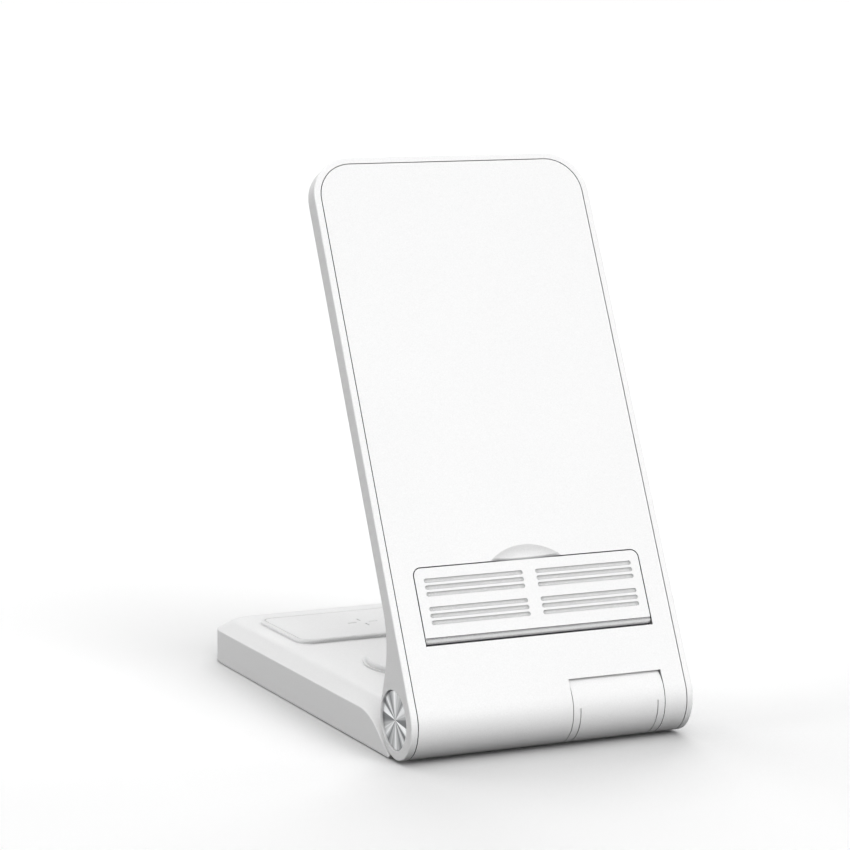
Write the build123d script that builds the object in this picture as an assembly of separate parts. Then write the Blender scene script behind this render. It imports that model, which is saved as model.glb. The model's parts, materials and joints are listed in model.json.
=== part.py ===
from build123d import *
import os
from math import asin, cos, degrees, radians, sin, sqrt

# Foldable wireless charger for a phone, a watch and earbuds.
# Millimetres. The origin lies on the table under the middle of the whole object.
# +X points right seen from the front, +Y points back, +Z points up.

# Overall form
width = 80.0
barrel_radius = 9.7
barrel_floor_gap = 0.7
base_reach = 135.0
plate_reach = 148.6
plate_thickness = 5.0
open_angle = 64.3
corner_radius = 11.5
edge_round = 0.4

# Stand frame behind the front panel
flank_angle = 42.0
flank_blend = 22.0
rim_width = 2.0
seam_gap = 0.25
panel_thickness = 1.1
panel_wrap = 110.0
glue_gap = 0.1
frame_back_wall = 1.3
coil_bay_width = 58.0
coil_bay_bottom = 44.6
coil_bay_margin = 9.0
coil_bay_round = 6.0

# Fold-out phone ledge
ledge_width = 64.0
ledge_top = 36.6
ledge_axis_height = 18.5
ledge_round = 1.8
ledge_corner = 2.0
ledge_gap = 0.3
ledge_pin_radius = 0.45
ledge_pin_length = 7.0
ledge_pin_fit = 0.05
ledge_crease_depth = 0.3
ledge_crease_width = 0.5
ledge_foot_angle = 55.0
rib_length = 27.8
rib_height = 1.15
rib_depth = 0.4
rib_pitch = 1.78
rib_inner_x = 1.8
rib_upper_row = 31.5
rib_lower_row = 24.1
scoop_half_width = 10.2
scoop_rise = 3.7
scoop_depth = 2.2
scoop_wall = 0.9

# Hinge
knuckle_left = 5.3
knuckle_right = 31.6
knuckle_side_gap = 0.2
knuckle_notch_gap = 0.95
slit_inset = 2.0
slit_width = 0.25
slit_depth = 0.8
slit_rise = 1.0
shaft_radius = 2.5
shaft_fit = 0.05
shaft_left = -20.0
shaft_end_gap = 1.5
clip_count = 4
clip_thickness = 1.8
clip_spacing = 2.2
clip_radius = 4.2
clip_slit = 1.0
clip_tail_width = 1.9
clip_tail_reach = 6.4
clip_bay_right = -6.0
clip_bay_gap = 0.3
bush_radius = 4.2
bush_flange_gap = 0.4
disc_radius = 7.65
disc_thickness = 0.6
disc_recess = 0.5
disc_bevel = 0.2
disc_rise = 0.75
disc_set_back = 1.0
disc_gap = 0.1

# Base
foot_height = 0.3
base_wall_top = 9.45
base_height = 12.0
bevel_width = 5.0
bevel_soften = 4.0
bevel_edge_round = 0.35
seat_gap = 0.3
nose_slope = 33.6
nose_lip = 0.34
nose_tip = 4.2
nose_overrun = 6.0
brow_round = 21.0
wall = 2.0
ceiling_thickness = 2.9
base_bay_front = 22.6
cover_thickness = 1.4
cover_gap = 0.15

# Charging pads on the base
pad_offset_x = -4.0
pad_seat_depth = 0.6
pad_seat_gap = 0.05
pad_edge_round = 0.45
buds_pad_width = 52.0
buds_pad_depth = 33.8
buds_pad_inset = 31.6
buds_pad_corner = 4.5
buds_pad_rise = 0.9
buds_rim_width = 1.0
buds_seam_width = 0.25
buds_seam_depth = 0.25
watch_pad_radius = 20.3
watch_pad_y = 52.2
watch_pad_rise = 1.5
watch_step_width = 0.8
watch_step_rise = 0.4
mark_inner = 1.9
mark_outer = 4.6
mark_width = 0.45
mark_depth = 0.15

# Coils, shields and boards
coil_seat_gap = 0.1
coil_thickness = 0.85
shield_thickness = 0.6
phone_coil_radius = 21.0
phone_coil_bore = 10.0
phone_shield_lift = 9.0
phone_shield_margin = 2.0
buds_coil_radius = 14.0
buds_coil_bore = 6.0
watch_coil_radius = 13.0
watch_coil_bore = 7.0
watch_magnet_radius = 5.5
watch_magnet_height = 2.4
stand_board_width = 46.0
stand_board_height = 12.0
stand_board_thickness = 1.0
main_board_width = 46.0
main_board_depth = 58.0
main_board_thickness = 1.2
rest_height = 1.2
rest_width = 3.0
rest_inset = 4.0

# Charging inlet in the rear wall
inlet_width = 8.94
inlet_height = 3.2
inlet_depth = 7.4
inlet_shell = 0.3
inlet_gap = 0.15
tongue_width = 6.7
tongue_thickness = 0.7
tongue_reach = 5.0
tongue_root = 1.5

# Feet and screws
foot_radius = 4.5
foot_seat_depth = 0.4
foot_x = 29.0
foot_front_y = 32.0
foot_rear_inset = 13.0
foot_seat_gap = 0.1
screw_head_radius = 2.0
screw_head_height = 0.8
screw_radius = 1.0
screw_length = 5.0
screw_gap = 0.1
boss_radius = 3.2

# Derived places
half_width = width / 2
lean_angle = 90.0 - open_angle
hinge_y = (barrel_radius - base_reach) / 2
hinge_z = barrel_radius + barrel_floor_gap
plate_back = plate_thickness - barrel_radius
panel_half_width = half_width - rim_width
panel_top = plate_reach - rim_width
panel_bed = panel_thickness + glue_gap
panel_back = panel_bed - barrel_radius
coil_bay_top = plate_reach - coil_bay_margin
stand_board_top = coil_bay_top - phone_shield_margin
shield_top = stand_board_top - stand_board_height - phone_shield_margin
shield_bottom = coil_bay_bottom + phone_shield_lift
phone_shield_reach = phone_coil_radius + phone_shield_margin
phone_coil_lower_z = shield_bottom + phone_shield_reach
phone_coil_upper_z = shield_top - phone_shield_reach
ledge_axis_y = ledge_round - barrel_radius
ledge_back = 2 * ledge_round - barrel_radius
ledge_bottom = ledge_axis_height - ledge_round
ledge_bay_top = ledge_top + ledge_gap
seat_radius = barrel_radius + seat_gap
bevel_rise = base_height - base_wall_top
base_ceiling = base_height - ceiling_thickness
cover_top = foot_height + cover_thickness
foot_rear_y = base_reach - foot_rear_inset
buds_pad_y = base_reach - buds_pad_inset
pad_floor = base_height - pad_seat_depth
buds_pad_top = base_height + buds_pad_rise
watch_pad_top = base_height + watch_pad_rise
shaft_right = half_width - shaft_end_gap


# Places a stand piece, drawn upright with the hinge axis on X, at its rest angle.
def lean_back(shape):
    return Pos(0, hinge_y, hinge_z) * Rot(-lean_angle, 0, 0) * shape


# Places a base piece, drawn with the hinge axis above Y zero.
def set_back(shape):
    return Pos(0, hinge_y, 0) * shape


# A box between two corners.
def block(x0, x1, y0, y1, z0, z1):
    middle = Pos((x0 + x1) / 2, (y0 + y1) / 2, (z0 + z1) / 2)
    return middle * Box(x1 - x0, y1 - y0, z1 - z0)


# A cylinder along X, centred on a point of the YZ plane.
def rod_x(radius, x0, x1, y=0.0, z=0.0):
    return Pos((x0 + x1) / 2, y, z) * Rot(0, 90, 0) * Cylinder(radius, x1 - x0)


# A cylinder along Z standing between two heights.
def post(radius, x, y, z0, z1):
    return Pos(x, y, (z0 + z1) / 2) * Cylinder(radius, z1 - z0)


# A plate in the XZ plane with rounded corners, between two depths.
def upright_panel(x_half, z0, z1, y0, y1, corner):
    face = RectangleRounded(2 * x_half, z1 - z0, corner)
    front = Plane((0, y0, (z0 + z1) / 2), x_dir=(1, 0, 0), z_dir=(0, 1, 0))
    return extrude(front * face, amount=y1 - y0)


# Teardrop section of the stand: flat front, round barrel and a flank that thins to the plate.
def teardrop_section():
    tangent = (barrel_radius * cos(radians(flank_angle)), barrel_radius * sin(radians(flank_angle)))
    run = (tangent[0] - plate_back) / sin(radians(flank_angle))
    meeting = (plate_back, tangent[1] + run * cos(radians(flank_angle)))
    blade = Polygon(
        (-barrel_radius, 0),
        (-barrel_radius, plate_reach),
        (plate_back, plate_reach),
        meeting,
        tangent,
        (0, 0),
        align=None,
    )
    section = Circle(barrel_radius) + blade
    corner = section.vertices().sort_by_distance((meeting[0], meeting[1], 0))[0]
    return fillet(corner, flank_blend)


# Sheet that covers the stand's front and wraps round the barrel to its underside.
def wrapped_sheet(x_half, top, depth, wrap, corner):
    inner_radius = barrel_radius - depth
    outer_line = Line((-barrel_radius, top), (-barrel_radius, 0))
    inner_line = Line((-inner_radius, top), (-inner_radius, 0))
    outer_arc = CenterArc((0, 0), barrel_radius, 180, wrap)
    inner_arc = CenterArc((0, 0), inner_radius, 180, wrap)
    top_line = Line(outer_line @ 0, inner_line @ 0)
    end_line = Line(outer_arc @ 1, inner_arc @ 1)
    section = make_face([outer_line, outer_arc, end_line, inner_arc, inner_line, top_line])
    sheet = extrude(Plane.YZ * section, amount=x_half, both=True)
    corners = sheet.edges().filter_by(Axis.Y).group_by(Axis.Z)[-1]
    return fillet(corners, corner)


# Half-moon finger scoop above the ledge, a slice of a ball.
def scoop_ball():
    rim_radius = (scoop_half_width**2 + scoop_rise**2) / (2 * scoop_rise)
    rim_centre = ledge_bay_top + scoop_rise - rim_radius
    drop = ledge_bay_top - rim_centre
    reach = (rim_radius**2 - drop**2 - scoop_depth**2) / (2 * scoop_depth)
    ball_radius = sqrt(reach**2 + rim_radius**2)
    ball = Pos(0, -barrel_radius - reach, rim_centre) * Sphere(ball_radius)
    return ball & block(-half_width, half_width, -2 * barrel_radius, 0, ledge_bay_top, plate_reach)


# Thicker patch behind the scoop, or with a gap the pocket that takes it.
def scoop_backing(gap):
    x_half = scoop_half_width + scoop_wall + gap
    depth = scoop_depth + scoop_wall + gap - barrel_radius
    top = ledge_bay_top + scoop_rise + scoop_wall + gap
    return block(-x_half, x_half, -barrel_radius, depth, ledge_bay_top, top)


# Everything that the ledge and the knuckle take out of the stand.
def stand_clearance(depth):
    bay_half_width = ledge_width / 2 + ledge_gap
    bay_bottom = ledge_bottom - ledge_gap
    bay_corner = ledge_corner + ledge_gap
    bay_front = -2 * barrel_radius
    ledge_bay = upright_panel(bay_half_width, bay_bottom, ledge_bay_top, bay_front, depth, bay_corner)
    square_top = ledge_bay_top - bay_corner
    ledge_bay += block(-bay_half_width, bay_half_width, bay_front, depth, bay_bottom, square_top)
    knuckle_bay = rod_x(
        barrel_radius + knuckle_notch_gap,
        knuckle_left - knuckle_side_gap,
        knuckle_right + knuckle_side_gap,
    )
    return [ledge_bay, knuckle_bay]


# Rear housing of the stand with its barrel.
def make_stand_frame():
    frame = extrude(Plane.YZ * teardrop_section(), amount=half_width, both=True)
    top_corners = frame.edges().filter_by(Axis.Y).group_by(Axis.Z)[-1]
    frame = fillet(top_corners, corner_radius)
    sides = frame.faces().filter_by(Axis.X)
    rim_edges = ShapeList(edge for side in sides for edge in side.edges())
    corner_faces = frame.faces().filter_by(GeomType.CYLINDER).group_by(Axis.Z)[-1]
    top_face = frame.faces().sort_by(Axis.Z)[-1]
    around_top = ShapeList(edge for face in [*corner_faces, top_face] for edge in face.edges())
    across = frame.edges().filter_by(Axis.Y)
    outline = dict.fromkeys([*rim_edges, *around_top])
    frame = fillet([edge for edge in outline if edge not in across], edge_round)
    bed = wrapped_sheet(
        panel_half_width + seam_gap,
        panel_top + seam_gap,
        panel_bed,
        panel_wrap + degrees(seam_gap / barrel_radius),
        corner_radius - rim_width + seam_gap,
    )
    frame -= bed
    frame -= stand_clearance(ledge_back + ledge_gap)
    frame -= scoop_backing(glue_gap)
    coil_bay = upright_panel(
        coil_bay_width / 2,
        coil_bay_bottom,
        coil_bay_top,
        -barrel_radius,
        plate_back - frame_back_wall,
        coil_bay_round,
    )
    frame -= coil_bay
    clip_bay_radius = clip_radius + clip_bay_gap
    frame -= rod_x(clip_bay_radius, -half_width, clip_bay_right)
    frame -= block(
        -half_width + disc_thickness + disc_recess,
        clip_bay_right,
        -clip_tail_width / 2 - clip_bay_gap,
        clip_tail_width / 2 + clip_bay_gap,
        0,
        clip_tail_reach + clip_bay_gap,
    )
    frame -= rod_x(shaft_radius + shaft_fit, clip_bay_right, knuckle_left)
    frame -= rod_x(bush_radius, knuckle_right, half_width)
    for side in (-1, 1):
        outer_x = side * half_width
        inner_x = side * (half_width - disc_thickness - disc_recess)
        ends = sorted((outer_x, inner_x))
        frame -= rod_x(disc_radius + disc_gap, ends[0], ends[1], disc_set_back, disc_rise)
    pin_reach = ledge_width / 2 + ledge_pin_length / 2 + ledge_gap
    frame -= rod_x(ledge_pin_radius, -pin_reach, pin_reach, ledge_axis_y, ledge_axis_height)
    return frame


# Inset front panel of the stand.
def make_front_panel():
    panel = wrapped_sheet(
        panel_half_width,
        panel_top,
        panel_thickness,
        panel_wrap,
        corner_radius - rim_width,
    )
    panel += scoop_backing(0)
    panel -= stand_clearance(0)
    return panel - scoop_ball()


# Rod with round ends that cuts one shallow groove, seen from the front face that it lies on.
def rib_cutter():
    radius = (rib_height**2 / 4 + rib_depth**2) / (2 * rib_depth)
    half_run = (rib_length - rib_height) / 2
    rod = rod_x(radius, -half_run, half_run)
    ends = [Pos(x, 0, 0) * Sphere(radius) for x in (-half_run, half_run)]
    return Pos(0, rib_depth - radius, 0) * (rod + ends)


# Flush ledge that folds out on two stub pins to carry the phone.
def make_ledge():
    slab = upright_panel(
        ledge_width / 2,
        ledge_axis_height - ledge_corner,
        ledge_top,
        -barrel_radius,
        ledge_back,
        ledge_corner,
    )
    slab &= block(-width, width, -width, width, ledge_axis_height, plate_reach)
    ledge = slab + rod_x(ledge_round, -ledge_width / 2, ledge_width / 2, ledge_axis_y, ledge_axis_height)
    for row in (rib_upper_row, rib_lower_row):
        for step in (-1, 0, 1):
            for side in (-1, 1):
                rib_x = side * (rib_inner_x + rib_length / 2)
                ledge -= Pos(rib_x, -barrel_radius, row + step * rib_pitch) * rib_cutter()
    ledge -= block(
        -ledge_width / 2,
        ledge_width / 2,
        -barrel_radius,
        -barrel_radius + ledge_crease_depth,
        ledge_axis_height - ledge_crease_width,
        ledge_axis_height,
    )
    foot_turn = radians(ledge_foot_angle)
    foot_y = ledge_axis_y - ledge_round * cos(foot_turn)
    foot_z = ledge_axis_height - ledge_round * sin(foot_turn)
    crease_turn = asin(ledge_crease_width / ledge_round)
    crease_z = ledge_axis_height - ledge_crease_width
    shaving = Polygon(
        (ledge_axis_y - ledge_round * cos(crease_turn), crease_z),
        (-barrel_radius, crease_z),
        (-barrel_radius, foot_z),
        (foot_y, foot_z),
        align=None,
    )
    ledge -= extrude(Plane.YZ * shaving, amount=ledge_width / 2, both=True)
    for side in (-1, 1):
        inner_x = side * (ledge_width - ledge_pin_length) / 2
        outer_x = side * ledge_width / 2
        bore = ledge_pin_radius + ledge_pin_fit
        ledge -= rod_x(bore, min(inner_x, outer_x), max(inner_x, outer_x), ledge_axis_y, ledge_axis_height)
    return ledge


# The two stub pins of the ledge, held in the frame's cheeks.
def make_ledge_pins():
    pins = []
    for side in (-1, 1):
        inner_x = side * (ledge_width / 2 - ledge_pin_length / 2 + ledge_gap)
        outer_x = side * (ledge_width / 2 + ledge_pin_length / 2)
        ends = sorted((inner_x, outer_x))
        pins.append(rod_x(ledge_pin_radius, ends[0], ends[1], ledge_axis_y, ledge_axis_height))
    return pins


# Turned cap set into one end of the barrel.
def make_end_disc(side):
    outer_x = side * (half_width - disc_recess)
    inner_x = outer_x - side * disc_thickness
    ends = sorted((outer_x, inner_x))
    disc = rod_x(disc_radius, ends[0], ends[1], disc_set_back, disc_rise)
    rim = disc.faces().sort_by_distance((outer_x, disc_set_back, disc_rise))[0].edges()
    return chamfer(rim, disc_bevel)


# Stamped friction clip that grips the shaft, with a tail in the barrel's keyway.
def make_friction_clips():
    ring = Circle(clip_radius) - Circle(shaft_radius + shaft_fit)
    tail_middle = (clip_radius + clip_tail_reach) / 2 - shaft_fit - clip_slit / 2
    tail_height = clip_tail_reach - clip_radius + clip_slit
    ring += Pos(0, tail_middle) * Rectangle(clip_tail_width, tail_height)
    ring -= Pos(0, -clip_radius) * Rectangle(clip_slit, 2 * clip_radius - shaft_radius)
    clip = extrude(Plane.YZ * ring, amount=clip_thickness)
    first = clip_bay_right - clip_bay_gap - clip_thickness
    return [Pos(first - clip_spacing * step, 0, 0) * clip for step in range(clip_count)]


# Plain bush that carries the shaft's right end in the barrel.
def make_hinge_bush():
    left = knuckle_right + knuckle_side_gap + bush_flange_gap
    right = half_width - disc_thickness - disc_recess
    return rod_x(bush_radius, left, right) - rod_x(shaft_radius + shaft_fit, left, right)


# Wound coil: a flat ring whose wire is too fine to draw.
def coil_ring(radius, bore):
    return Circle(radius) - Circle(bore)


# Two phone coils that overlap in depth, so that a phone charges upright or on its side.
def make_phone_coil(height, layer):
    depth = panel_back + coil_seat_gap + layer * (coil_thickness + coil_seat_gap)
    plane = Plane((0, depth, height), x_dir=(1, 0, 0), z_dir=(0, 1, 0))
    return extrude(plane * coil_ring(phone_coil_radius, phone_coil_bore), amount=coil_thickness)


# Ferrite sheet behind both phone coils.
def make_phone_shield():
    front = panel_back + 2 * (coil_thickness + coil_seat_gap)
    back = front + shield_thickness
    return upright_panel(phone_shield_reach, shield_bottom, shield_top, front, back, phone_shield_margin)


# Small control board above the coils.
def make_stand_board():
    back = plate_back - frame_back_wall
    return upright_panel(
        stand_board_width / 2,
        stand_board_top - stand_board_height,
        stand_board_top,
        back - stand_board_thickness,
        back,
        edge_round,
    )


# Rounded outline of the base, square at the hinge side.
def base_plan(inset):
    x_half = half_width - inset
    depth = base_reach - inset
    plan = Pos(0, depth / 2) * Rectangle(2 * x_half, depth)
    rear = plan.vertices().group_by(Axis.Y)[-1]
    return fillet(rear, corner_radius - inset)


# Outer form of the base: straight walls, a bevel round the top and a nose that slopes to the barrel.
def base_body():
    slope = radians(nose_slope)
    reach = seat_radius + nose_lip - bevel_rise
    brow_y = (reach + (base_height - hinge_z) * cos(slope)) / sin(slope)
    toe_y = (reach - (hinge_z + nose_overrun) * cos(slope)) / sin(slope)
    side = Polygon(
        (toe_y, -nose_overrun),
        (brow_y, base_height),
        (base_reach, base_height),
        (base_reach, -nose_overrun),
        align=None,
    )
    brow = side.vertices().sort_by_distance((brow_y, base_height, 0))[0]
    body = extrude(Plane.YZ * fillet(brow, brow_round), amount=half_width, both=True)
    rear_corners = body.edges().filter_by(Axis.Z).group_by(Axis.Y)[-1]
    body = fillet(rear_corners, corner_radius)
    side_wall = body.faces().filter_by(Axis.X).sort_by(Axis.X)[0]
    body = chamfer(long_edge(side_wall), bevel_rise, bevel_width, reference=side_wall)
    top = body.faces().filter_by(Axis.Z).sort_by(Axis.Z)[-1]
    body = fillet(long_edge(top), bevel_soften)
    side_wall = body.faces().filter_by(Axis.X).sort_by(Axis.X)[0]
    body = fillet(long_edge(side_wall), bevel_edge_round)
    body &= block(-half_width, half_width, nose_tip, base_reach, foot_height, base_height)
    folded = offset(teardrop_section(), seat_gap)
    folded = extrude(Plane.YZ * folded, amount=half_width, both=True)
    return body - Pos(0, 0, hinge_z) * Rot(-90, 0, 0) * folded


# Highest straight edge of a face that runs from front to back.
def long_edge(face):
    return face.edges().filter_by(Axis.Y).group_by(Axis.Z)[-1][0]


# Screw and foot places, seen from above.
def foot_places():
    return [(x, y) for y in (foot_front_y, foot_rear_y) for x in (-foot_x, foot_x)]


# Earbuds pad outline with a margin.
def buds_outline(margin):
    outline = RectangleRounded(
        buds_pad_width + 2 * margin,
        buds_pad_depth + 2 * margin,
        buds_pad_corner + margin,
    )
    return Pos(pad_offset_x, buds_pad_y) * outline


# Inlet outline on the rear wall with a margin.
def inlet_outline(margin):
    height = inlet_height + 2 * margin
    return SlotOverall(inlet_width + 2 * margin, height)


# Plane of the base's rear wall, looking forward into the inlet.
def inlet_plane(depth):
    middle = cover_top + rest_height + main_board_thickness + inlet_height / 2
    return Plane((0, base_reach - depth, middle), x_dir=(1, 0, 0), z_dir=(0, -1, 0))


# Upper housing of the base with the hinge knuckle.
def make_base_housing():
    housing = base_body()
    bay = extrude(base_plan(wall), amount=base_ceiling)
    bay &= block(-half_width, half_width, base_bay_front, base_reach, 0, base_height)
    housing -= bay
    for x, y in foot_places():
        housing += post(boss_radius, x, y, cover_top, base_ceiling)
        pilot_top = foot_height + foot_seat_depth + screw_head_height + screw_length + screw_gap
        housing -= post(screw_radius, x, y, cover_top, pilot_top)
    housing -= extrude(Pos(0, 0, pad_floor) * buds_outline(pad_seat_gap), amount=pad_seat_depth)
    housing -= post(watch_pad_radius + pad_seat_gap, pad_offset_x, watch_pad_y, pad_floor, base_height)
    neck_turn = radians(flank_angle)
    neck_root = seat_radius + seat_gap
    neck = Polygon(
        (0, hinge_z),
        (neck_root * sin(neck_turn), hinge_z - neck_root * cos(neck_turn)),
        (nose_tip + seat_gap, foot_height),
        (0, barrel_floor_gap),
        align=None,
    )
    knuckle_length = knuckle_right - knuckle_left
    housing += Pos(knuckle_left, 0, 0) * extrude(Plane.YZ * neck, amount=knuckle_length, dir=(1, 0, 0))
    housing += rod_x(barrel_radius, knuckle_left, knuckle_right, 0, hinge_z)
    housing -= rod_x(shaft_radius, knuckle_left, knuckle_right, 0, hinge_z)
    for slit_x in (knuckle_left + slit_inset, knuckle_right - slit_inset):
        slit_ends = (slit_x - slit_width / 2, slit_x + slit_width / 2)
        slit = rod_x(barrel_radius, *slit_ends, 0, hinge_z)
        slit -= rod_x(barrel_radius - slit_depth, *slit_ends, 0, hinge_z)
        housing -= slit & block(*slit_ends, -barrel_radius, 0, 0, hinge_z + slit_rise)
    housing -= extrude(inlet_plane(0) * inlet_outline(inlet_gap), amount=wall)
    return housing


# Flat cover screwed under the base, with two ribs that the main board rests on.
def make_bottom_cover():
    cover = extrude(Pos(0, 0, foot_height) * base_plan(wall + cover_gap), amount=cover_thickness)
    cover &= block(-half_width, half_width, base_bay_front + cover_gap, base_reach, 0, base_height)
    seat_top = foot_height + foot_seat_depth
    for x, y in foot_places():
        cover -= post(foot_radius + foot_seat_gap, x, y, 0, seat_top)
        cover -= post(screw_head_radius + screw_gap, x, y, 0, seat_top + screw_head_height)
        cover -= post(screw_radius + screw_gap, x, y, 0, cover_top)
    x_half = main_board_width / 2 - rest_inset
    rear = base_reach - wall - cover_gap - rest_inset
    front = rear - main_board_depth + 2 * rest_inset
    rest_top = cover_top + rest_height
    for y in (front, rear):
        cover += block(-x_half, x_half, y - rest_width / 2, y + rest_width / 2, cover_top, rest_top)
    return cover


# Main control board.
def make_main_board():
    rear = base_reach - wall - cover_gap
    low = cover_top + rest_height
    x_half = main_board_width / 2
    return block(-x_half, x_half, rear - main_board_depth, rear, low, low + main_board_thickness)


# Earbuds pad: a rim, a fine seam inside it and an engraved positioning cross.
def make_buds_pad():
    pad = extrude(Pos(0, 0, pad_floor) * buds_outline(0), amount=pad_seat_depth + buds_pad_rise)
    pad = fillet(pad.faces().sort_by(Axis.Z)[-1].edges(), pad_edge_round)
    seam = buds_outline(-buds_rim_width) - buds_outline(-buds_rim_width - buds_seam_width)
    pad -= extrude(Pos(0, 0, buds_pad_top - buds_seam_depth) * seam, amount=buds_seam_depth)
    dash_middle = (mark_inner + mark_outer) / 2
    dash = Box(mark_outer - mark_inner, mark_width, 2 * mark_depth)
    centre = Pos(pad_offset_x, buds_pad_y, buds_pad_top)
    for turn in range(4):
        pad -= centre * Rot(0, 0, 90 * turn) * Pos(dash_middle, 0, 0) * dash
    return pad


# Round pad for the watch, on a low step.
def make_watch_pad():
    disc = post(watch_pad_radius - watch_step_width, pad_offset_x, watch_pad_y, pad_floor, watch_pad_top)
    disc = fillet(disc.faces().sort_by(Axis.Z)[-1].edges(), pad_edge_round)
    step_top = base_height + watch_step_rise
    return disc + post(watch_pad_radius, pad_offset_x, watch_pad_y, pad_floor, step_top)


# Coil under one of the base's pads, hung from the ceiling.
def make_base_coil(y, radius, bore):
    low = base_ceiling - coil_seat_gap - coil_thickness
    return extrude(Pos(pad_offset_x, y, low) * coil_ring(radius, bore), amount=coil_thickness)


# Ferrite disc under a base coil.
def make_base_shield(y, radius, bore):
    high = base_ceiling - coil_seat_gap - coil_thickness
    disc = Circle(radius + phone_shield_margin)
    if bore:
        disc -= Circle(bore)
    return extrude(Pos(pad_offset_x, y, high - shield_thickness) * disc, amount=shield_thickness)


# Metal shell of the charging inlet.
def make_inlet_shell():
    shell = extrude(inlet_plane(0) * inlet_outline(0), amount=inlet_depth)
    hollow = extrude(inlet_plane(0) * inlet_outline(-inlet_shell), amount=inlet_depth - inlet_shell)
    return shell - hollow


# Contact tongue inside the inlet.
def make_inlet_tongue():
    floor = inlet_depth - inlet_shell
    root = extrude(inlet_plane(floor - tongue_root) * inlet_outline(-inlet_shell), amount=tongue_root)
    blade = Rectangle(tongue_width, tongue_thickness)
    tip = floor - tongue_root - tongue_reach
    return root + extrude(inlet_plane(tip) * blade, amount=tongue_reach)


# Rubber feet under the base.
def make_feet():
    high = foot_height + foot_seat_depth
    return [post(foot_radius, x, y, 0, high) for x, y in foot_places()]


# Screws hidden above the feet.
def make_screws():
    low = foot_height + foot_seat_depth
    screws = []
    for x, y in foot_places():
        head = post(screw_head_radius, x, y, low, low + screw_head_height)
        top = low + screw_head_height + screw_length
        screws.append(head + post(screw_radius, x, y, low + screw_head_height, top))
    return screws


stand_pieces = {
    "stand_frame": make_stand_frame(),
    "stand_front_panel": make_front_panel(),
    "phone_ledge": make_ledge(),
    "ledge_hinge_pins": make_ledge_pins(),
    "end_disc_left": make_end_disc(-1),
    "end_disc_right": make_end_disc(1),
    "friction_clips": make_friction_clips(),
    "hinge_bush": make_hinge_bush(),
    "phone_coil_upper": make_phone_coil(phone_coil_upper_z, 0),
    "phone_coil_lower": make_phone_coil(phone_coil_lower_z, 1),
    "phone_ferrite_sheet": make_phone_shield(),
    "stand_circuit_board": make_stand_board(),
}
base_pieces = {
    "base_housing": make_base_housing(),
    "base_bottom_cover": make_bottom_cover(),
    "earbuds_pad": make_buds_pad(),
    "watch_pad": make_watch_pad(),
    "hinge_shaft": rod_x(shaft_radius, shaft_left, shaft_right, 0, hinge_z),
    "earbuds_coil": make_base_coil(buds_pad_y, buds_coil_radius, buds_coil_bore),
    "earbuds_ferrite_disc": make_base_shield(buds_pad_y, buds_coil_radius, 0),
    "watch_coil": make_base_coil(watch_pad_y, watch_coil_radius, watch_coil_bore),
    "watch_ferrite_ring": make_base_shield(watch_pad_y, watch_coil_radius, watch_coil_bore),
    "watch_magnet": post(
        watch_magnet_radius,
        pad_offset_x,
        watch_pad_y,
        base_ceiling - coil_seat_gap - watch_magnet_height,
        base_ceiling - coil_seat_gap,
    ),
    "main_circuit_board": make_main_board(),
    "inlet_shell": make_inlet_shell(),
    "inlet_tongue": make_inlet_tongue(),
    "rubber_feet": make_feet(),
    "base_screws": make_screws(),
}


# Writes one piece, or a group of like pieces, as one file.
def write_piece(name, shape, place):
    if isinstance(shape, list):
        shape = Compound([place(one) for one in shape])
    else:
        shape = place(shape)
    export_step(shape, f"parts/{name}.step")


os.makedirs("parts", exist_ok=True)
for name, shape in stand_pieces.items():
    write_piece(name, shape, lean_back)
for name, shape in base_pieces.items():
    write_piece(name, shape, set_back)
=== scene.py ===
import json
from math import pi, radians

import bmesh
import bpy
from mathutils import Matrix, Vector


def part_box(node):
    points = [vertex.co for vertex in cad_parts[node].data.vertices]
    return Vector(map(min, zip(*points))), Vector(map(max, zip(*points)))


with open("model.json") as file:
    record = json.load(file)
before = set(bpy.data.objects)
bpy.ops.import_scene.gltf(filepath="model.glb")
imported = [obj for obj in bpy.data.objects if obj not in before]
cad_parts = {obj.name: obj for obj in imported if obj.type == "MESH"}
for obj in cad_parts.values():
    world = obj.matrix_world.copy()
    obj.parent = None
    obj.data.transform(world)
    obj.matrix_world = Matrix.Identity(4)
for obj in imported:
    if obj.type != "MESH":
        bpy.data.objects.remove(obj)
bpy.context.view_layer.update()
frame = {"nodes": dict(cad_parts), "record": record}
mm = 0.001
print("frame loaded:", len(frame["nodes"]), "nodes")


def hexColour(code):  # sRGB hex to linear
    values = [int(code[i:i + 2], 16) / 255 for i in (1, 3, 5)]
    linear = [v / 12.92 if v <= 0.04045 else ((v + 0.055) / 1.055) ** 2.4 for v in values]
    return (*linear, 1.0)


def addNode(tree, kind, sockets=None, **settings):  # sockets: a value, or (node, output) to link
    node = tree.nodes.new(kind)
    for name, value in settings.items():
        setattr(node, name, value)
    for name, value in (sockets or {}).items():
        if isinstance(value, tuple) and isinstance(value[0], bpy.types.Node):
            tree.links.new(value[0].outputs[value[1]], node.inputs[name])
        else:
            node.inputs[name].default_value = value
    return node


def newMaterial(name, **values):  # principled shader with its own constant sockets
    material = bpy.data.materials.new(name)
    material.use_nodes = True
    shader = material.node_tree.nodes["Principled BSDF"]
    for socket, value in values.items():
        shader.inputs[socket.replace("_", " ")].default_value = value
    return material, material.node_tree, shader


def setRamp(ramp, stops):  # colour ramp stops as (place, hex)
    elements = ramp.color_ramp.elements
    stops = list(stops)
    while len(elements) < len(stops):
        elements.new(0.5)
    for element, (place, code) in zip(elements, stops):
        element.position = place
        element.color = hexColour(code)


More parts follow.
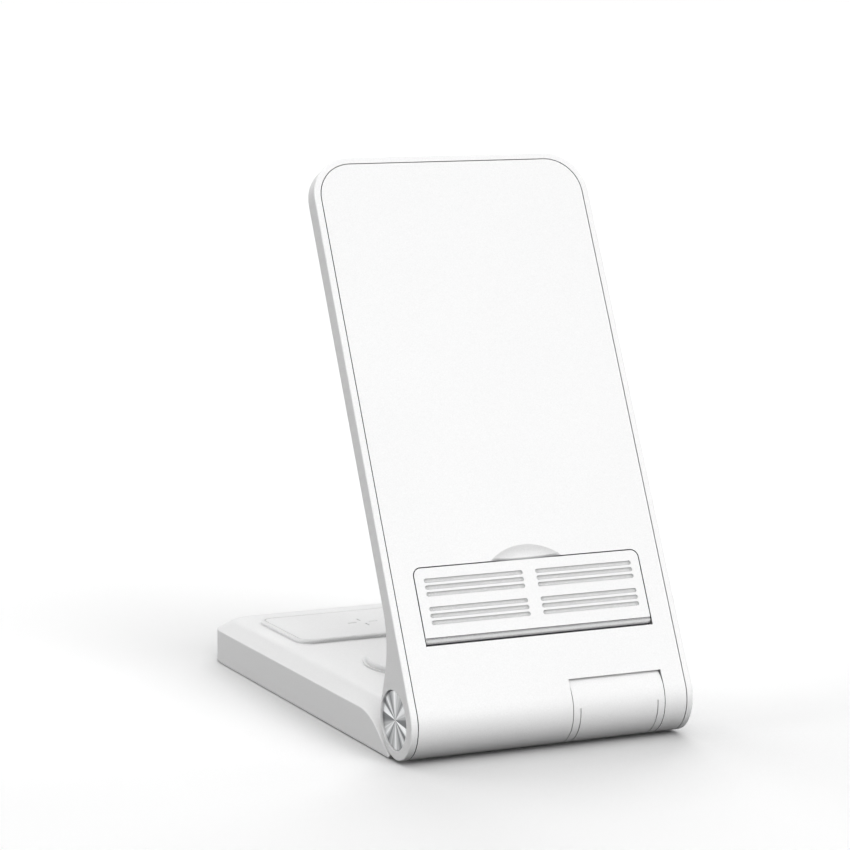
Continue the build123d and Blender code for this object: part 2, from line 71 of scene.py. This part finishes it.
def addShown(tree):  # 1 for rays that show the picture or its reflections, 0 for those that light the object
    path = addNode(tree, "ShaderNodeLightPath")
    seen = addNode(tree, "ShaderNodeMath", {0: (path, "Is Camera Ray"), 1: (path, "Is Glossy Ray")},
                   operation="MAXIMUM")
    return addNode(tree, "ShaderNodeMath", {0: (seen, "Value"), 1: (path, "Is Transmission Ray")},
                   operation="MAXIMUM")


# White ABS, moulded in a spark-eroded tool: an even matte white with a faint grain in its gloss,
# and a painted grey shade in the seams and grooves, deeper where a place is more closed in
whiteAbs = {
    "colour": "#fafafa",
    "grainShade": "#f0f0f0",
    "grainStops": (0.25, 0.75),
    "grain": 0.32 * mm,  # real grain is near 0.05 mm, drawn coarser so that it shows
    "grainHeight": 0.012 * mm,
    "grainStrength": 0.6,
    "ior": 1.48,
    "roughness": 0.52,
    "cloud": 22 * mm,  # slow change of gloss over a moulding
    "cloudSpan": (0.3, 0.7),
    "cloudSwing": 0.03,  # the most it adds to the roughness, or takes off
    "paintedSeamShade": "#4c4c4e",
    "seamReach": 1.1 * mm,  # how far away a surface still casts painted shade into a seam
    "seamSpan": (0.55, 0.97),  # how open a place is, from full painted shade to none
    "seamSamples": 4,
    "paintedShadeLift": {"base_housing": 0.75, "earbuds_pad": 0.75, "watch_pad": 0.75,
              "stand_frame": 0.95},  # how much of its own white a part keeps in the deepest seams under the painted shade, 0 for the rest
}


def makeWhiteAbs():
    material, tree, shader = newMaterial("white_abs_matte", IOR=whiteAbs["ior"])
    place = addNode(tree, "ShaderNodeTexCoord")
    grain = addNode(tree, "ShaderNodeTexNoise", {"Vector": (place, "Object"), "Scale": 1 / whiteAbs["grain"],
                                                 "Detail": 2.0, "Roughness": 0.6})
    cloud = addNode(tree, "ShaderNodeTexNoise", {"Vector": (place, "Object"), "Scale": 1 / whiteAbs["cloud"],
                                                 "Detail": 1.0})
    tint = addNode(tree, "ShaderNodeValToRGB", {"Fac": (grain, "Fac")})
    setRamp(tint, zip(whiteAbs["grainStops"], (whiteAbs["grainShade"], whiteAbs["colour"])))
    # painted shade: the colour runs to the seam shade where a seam, groove or recess closes in round a place
    seam = addNode(tree, "ShaderNodeAmbientOcclusion", {"Distance": whiteAbs["seamReach"]},
                   samples=whiteAbs["seamSamples"])
    part = addNode(tree, "ShaderNodeObjectInfo")  # a part's alpha is how much of its own white it keeps under the painted seam shade
    clear = addNode(tree, "ShaderNodeMapRange", {"Value": (seam, "AO"), "From Min": whiteAbs["seamSpan"][0],
                                                 "From Max": whiteAbs["seamSpan"][1],
                                                 "To Min": (part, "Alpha")})
    gloss = addNode(tree, "ShaderNodeMapRange", {"Value": (cloud, "Fac"),
                                                 "From Min": whiteAbs["cloudSpan"][0],
                                                 "From Max": whiteAbs["cloudSpan"][1],
                                                 "To Min": whiteAbs["roughness"] - whiteAbs["cloudSwing"],
                                                 "To Max": whiteAbs["roughness"] + whiteAbs["cloudSwing"]})
    bump = addNode(tree, "ShaderNodeBump", {"Height": (grain, "Fac"), "Strength": whiteAbs["grainStrength"],
                                            "Distance": whiteAbs["grainHeight"]})
    shaded = addNode(tree, "ShaderNodeMixRGB", {"Fac": (clear, "Result"),
                                                "Color1": hexColour(whiteAbs["paintedSeamShade"]),
                                                "Color2": (tint, "Color")})
    tree.links.new(shaded.outputs["Color"], shader.inputs["Base Color"])
    tree.links.new(gloss.outputs["Result"], shader.inputs["Roughness"])
    tree.links.new(bump.outputs["Normal"], shader.inputs["Normal"])
    return material


# Aluminium turned on its face, with a painted reflection: a fan of light and dark rays that run out
# from the middle, the same on opposite sides, under fine streaks and tool rings
spunAluminium = {
    "light": "#f0f1f2",
    "middle": "#bcbdbe",
    "dark": "#77797b",
    "paintedRays": [(0, "dark"), (5, "dark"), (7, "light"), (22, "light"), (26, "dark"), (33, "dark"),
             (43, "light"), (59, "dark"), (76, "middle"), (87, "light"), (98, "middle"), (114, "middle"),
             (127, "dark"), (141, "light"), (158, "middle"), (174, "dark")],  # painted reflection, degrees over half a turn
    "roughness": 0.36,
    "streak": 0.6 * mm,  # width of a streak at the rim, drawn coarser than the real 0.05 mm
    "streakSpan": (0.3, 0.7),
    "streakLevel": (0.62, 1.16),  # a streak's darkest and lightest share of its ray
    "ring": 0.12 * mm,  # tool marks, drawn coarser than the real 0.03 mm
    "ringHeight": 0.002 * mm,
    "ringStrength": 0.5,
}


def makeSpunAluminium():
    material, tree, shader = newMaterial("spun_aluminium_disc", Metallic=1.0,
                                         Roughness=spunAluminium["roughness"])
    low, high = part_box("end_disc_left")
    middle = (Vector(low) + Vector(high)) / 2
    rim = (high[1] - low[1]) / 2
    place = addNode(tree, "ShaderNodeTexCoord")
    centred = addNode(tree, "ShaderNodeMapping", {"Vector": (place, "Object"), "Location": -middle})
    axes = addNode(tree, "ShaderNodeSeparateXYZ", {"Vector": (centred, "Vector")})
    angle = addNode(tree, "ShaderNodeMath", {0: (axes, "Z"), 1: (axes, "Y")}, operation="ARCTAN2")
    halfTurns = addNode(tree, "ShaderNodeMath", {0: (angle, "Value"), 1: 1 / pi}, operation="MULTIPLY")
    fan = addNode(tree, "ShaderNodeMath", {0: (halfTurns, "Value")}, operation="FRACT")
    # painted reflection: light and dark rays set by the angle round the disc's middle
    tint = addNode(tree, "ShaderNodeValToRGB", {"Fac": (fan, "Value")})
    setRamp(tint, [(turn / 180, spunAluminium[shade]) for turn, shade in spunAluminium["paintedRays"]])
    flat = addNode(tree, "ShaderNodeCombineXYZ", {"Y": (axes, "Y"), "Z": (axes, "Z")})
    outward = addNode(tree, "ShaderNodeVectorMath", {0: (flat, "Vector")}, operation="NORMALIZE")
    streaks = addNode(tree, "ShaderNodeTexNoise", {"Vector": (outward, "Vector"),
                                                   "Scale": rim / spunAluminium["streak"], "Detail": 3.0})
    level = addNode(tree, "ShaderNodeMapRange", {"Value": (streaks, "Fac"),
                                                 "From Min": spunAluminium["streakSpan"][0],
                                                 "From Max": spunAluminium["streakSpan"][1],
                                                 "To Min": spunAluminium["streakLevel"][0],
                                                 "To Max": spunAluminium["streakLevel"][1]})
    streaked = addNode(tree, "ShaderNodeVectorMath", {0: (tint, "Color"), "Scale": (level, "Result")},
                       operation="SCALE")
    radius = addNode(tree, "ShaderNodeVectorMath", {0: (flat, "Vector")}, operation="LENGTH")
    turns = addNode(tree, "ShaderNodeMath", {0: (radius, "Value"), 1: 2 * pi / spunAluminium["ring"]},
                    operation="MULTIPLY")
    ring = addNode(tree, "ShaderNodeMath", {0: (turns, "Value")}, operation="SINE")
    bump = addNode(tree, "ShaderNodeBump", {"Height": (ring, "Value"),
                                            "Strength": spunAluminium["ringStrength"],
                                            "Distance": spunAluminium["ringHeight"]})
    tree.links.new(streaked.outputs["Vector"], shader.inputs["Base Color"])
    tree.links.new(bump.outputs["Normal"], shader.inputs["Normal"])
    return material


# Inner finishes, seen in part or not at all, each a fine grain of two shades with a slight relief:
# name, light and dark shade, grain in mm, roughness, metal share
innerFinish = {
    "steel": ("bright_turned_steel", "#a9abad", "#8d9093", 0.4, 0.3, 1.0),
    "acetal": ("natural_acetal", "#e6e2d8", "#ddd8cc", 0.8, 0.4, 0.0),
    "copper_wire": ("enamelled_copper_wire", "#c0703c", "#8e4a22", 0.25, 0.32, 1.0),
    "ferrite": ("sintered_ferrite", "#3a3a3d", "#29292b", 0.5, 0.6, 0.0),
    "nickel_magnet": ("nickel_plated_magnet", "#c9c7c2", "#b5b3ae", 0.6, 0.25, 1.0),
    "circuit_board": ("green_solder_mask", "#1d5a38", "#174a2e", 1.2, 0.3, 0.0),
    "inlet_steel": ("nickel_plated_inlet_shell", "#c4c6c8", "#adafb1", 0.3, 0.28, 1.0),
    "inlet_plastic": ("black_glass_filled_nylon", "#1b1b1c", "#141415", 0.2, 0.5, 0.0),
    "foot_rubber": ("pale_grey_silicone_rubber", "#c9cacb", "#bcbdbe", 0.5, 0.7, 0.0),
}


innerGrain = {
    "stops": (0.3, 0.7),
    "strength": 0.3,
    "height": 0.01 * mm,
}


def makeInnerFinish(name, light, dark, grainMm, roughness, metal):
    material, tree, shader = newMaterial(name, Metallic=metal, Roughness=roughness)
    place = addNode(tree, "ShaderNodeTexCoord")
    grain = addNode(tree, "ShaderNodeTexNoise", {"Vector": (place, "Object"), "Scale": 1 / (grainMm * mm),
                                                 "Detail": 2.0})
    tint = addNode(tree, "ShaderNodeValToRGB", {"Fac": (grain, "Fac")})
    setRamp(tint, zip(innerGrain["stops"], (dark, light)))
    bump = addNode(tree, "ShaderNodeBump", {"Height": (grain, "Fac"), "Strength": innerGrain["strength"],
                                            "Distance": innerGrain["height"]})
    tree.links.new(tint.outputs["Color"], shader.inputs["Base Color"])
    tree.links.new(bump.outputs["Normal"], shader.inputs["Normal"])
    return material


materials = {slot: makeInnerFinish(*look) for slot, look in innerFinish.items()}
materials["white_plastic"] = makeWhiteAbs()
materials["spun_aluminium"] = makeSpunAluminium()
for part in frame["record"]["subparts"]:
    node = frame["nodes"][part["node"]]
    node.data.materials.clear()
    node.data.materials.append(materials[part["material_slot"]])
    # a part's alpha sets how much of its own white it keeps under the painted seam shade
    node.color = (1, 1, 1, whiteAbs["paintedShadeLift"].get(part["node"], 0.0))
print("materials:", len(materials))

# Floor and light: a white sweep under a weak white sky, with soft lamps set all round the object
studio = {
    "floorSize": 60.0,
    "floorRoughness": 0.9,
    "floorSeen": "#ffffff",
    "backGlow": 0.11,  # painted light: the seen sweep glows, rising from front to back, to full white behind the object
    "glowSpan": (-50 * mm, 60 * mm),  # from front to back
    "floorBounce": "#3a3a3a",  # the sweep gives little light back to the underside
    "contactShade": "#d8d8d8",  # painted shadow: a soft shade where the object stands close to the sweep
    "contactReach": 60 * mm,
    "contactSpan": (0.5, 0.97),  # how open the sweep is, from full shade to none
    "contactSamples": 3,
    "sky": 0.05,  # strength for light on the object
    "skySeen": 1.0,
    "lamps": [  # azimuth, height in degrees, level
        ("key", 20, 20, 0.43),
        ("front", -5, 45, 0.45),
        ("top", 0, 75, 0.11),
        ("left", -90, 5, 0.50),
        ("backRight", 150, 35, 0.35),
        ("backLeft", -150, 35, 0.17),
    ],
    "lampSpread": 40,
}


def makeFloor():
    mesh = bpy.data.meshes.new("floor")
    shape = bmesh.new()
    bmesh.ops.create_grid(shape, x_segments=1, y_segments=1, size=studio["floorSize"] / 2)
    shape.to_mesh(mesh)
    shape.free()
    floor = bpy.data.objects.new("floor", mesh)
    bpy.context.collection.objects.link(floor)
    material, tree, shader = newMaterial("white_paper_sweep", Roughness=studio["floorRoughness"],
                                         Specular_IOR_Level=0.0)
    shown = addShown(tree)
    # painted shadow: the seen sweep darkens where the object closes in round it
    near = addNode(tree, "ShaderNodeAmbientOcclusion", {"Distance": studio["contactReach"]},
                   samples=studio["contactSamples"])
    clear = addNode(tree, "ShaderNodeMapRange", {"Value": (near, "AO"), "From Min": studio["contactSpan"][0],
                                                 "From Max": studio["contactSpan"][1]})
    paper = addNode(tree, "ShaderNodeMixRGB", {"Fac": (clear, "Result"),
                                               "Color1": hexColour(studio["contactShade"]),
                                               "Color2": hexColour(studio["floorSeen"])})
    tint = addNode(tree, "ShaderNodeMixRGB", {"Fac": (shown, "Value"),
                                              "Color1": hexColour(studio["floorBounce"]),
                                              "Color2": (paper, "Color")})
    place = addNode(tree, "ShaderNodeTexCoord")
    axes = addNode(tree, "ShaderNodeSeparateXYZ", {"Vector": (place, "Object")})
    # painted light: a glow on the seen sweep that rises towards the back
    behind = addNode(tree, "ShaderNodeMapRange", {"Value": (axes, "Y"), "From Min": studio["glowSpan"][0],
                                                  "From Max": studio["glowSpan"][1],
                                                  "To Max": studio["backGlow"]})
    glow = addNode(tree, "ShaderNodeMapRange", {"Value": (shown, "Value"), "To Max": (behind, "Result")})
    tree.links.new(tint.outputs["Color"], shader.inputs["Base Color"])
    tree.links.new(glow.outputs["Result"], shader.inputs["Emission Strength"])
    floor.data.materials.append(material)


def makeLight():
    world = bpy.data.worlds.new("white_studio")
    world.use_nodes = True
    bpy.context.scene.world = world
    tree = world.node_tree
    sky = tree.nodes["Background"]
    sky.inputs["Color"].default_value = (1, 1, 1, 1)
    shown = addShown(tree)
    level = addNode(tree, "ShaderNodeMapRange", {"Value": (shown, "Value"), "To Min": studio["sky"],
                                                 "To Max": studio["skySeen"]})
    tree.links.new(level.outputs["Result"], sky.inputs["Strength"])
    for name, azimuth, height, power in studio["lamps"]:
        data = bpy.data.lights.new(name, "SUN")
        data.energy = power * pi
        data.angle = radians(studio["lampSpread"])
        lamp = bpy.data.objects.new(name, data)
        bpy.context.collection.objects.link(lamp)
        turn = Matrix.Rotation(radians(azimuth), 4, "Z")
        tilt = Matrix.Rotation(radians(90 - height), 4, "X")
        lamp.matrix_world = turn @ tilt


makeFloor()
makeLight()
print("studio set")

# Camera where the photograph was taken
photoCamera = {
    "azimuth": -24.67,
    "elevation": 8.29,
    "distance": 0.77336,
    "aim": (-0.02097, -0.03891, 0.0814),
    "lens": 127.59,
    "nearest": 0.05,
}


def makeCamera():
    data = bpy.data.cameras.new("camera")
    data.lens = photoCamera["lens"]
    data.clip_start = photoCamera["nearest"]
    camera = bpy.data.objects.new("camera", data)
    bpy.context.collection.objects.link(camera)
    turn = Matrix.Rotation(radians(photoCamera["azimuth"]), 4, "Z")
    tilt = Matrix.Rotation(radians(90 - photoCamera["elevation"]), 4, "X")
    camera.matrix_world = turn @ tilt
    back = (turn @ tilt).to_3x3() @ Vector((0, 0, photoCamera["distance"]))
    camera.location = Vector(photoCamera["aim"]) + back
    bpy.context.scene.camera = camera


makeCamera()
bpy.context.scene.view_settings.view_transform = "Standard"
print("camera set")
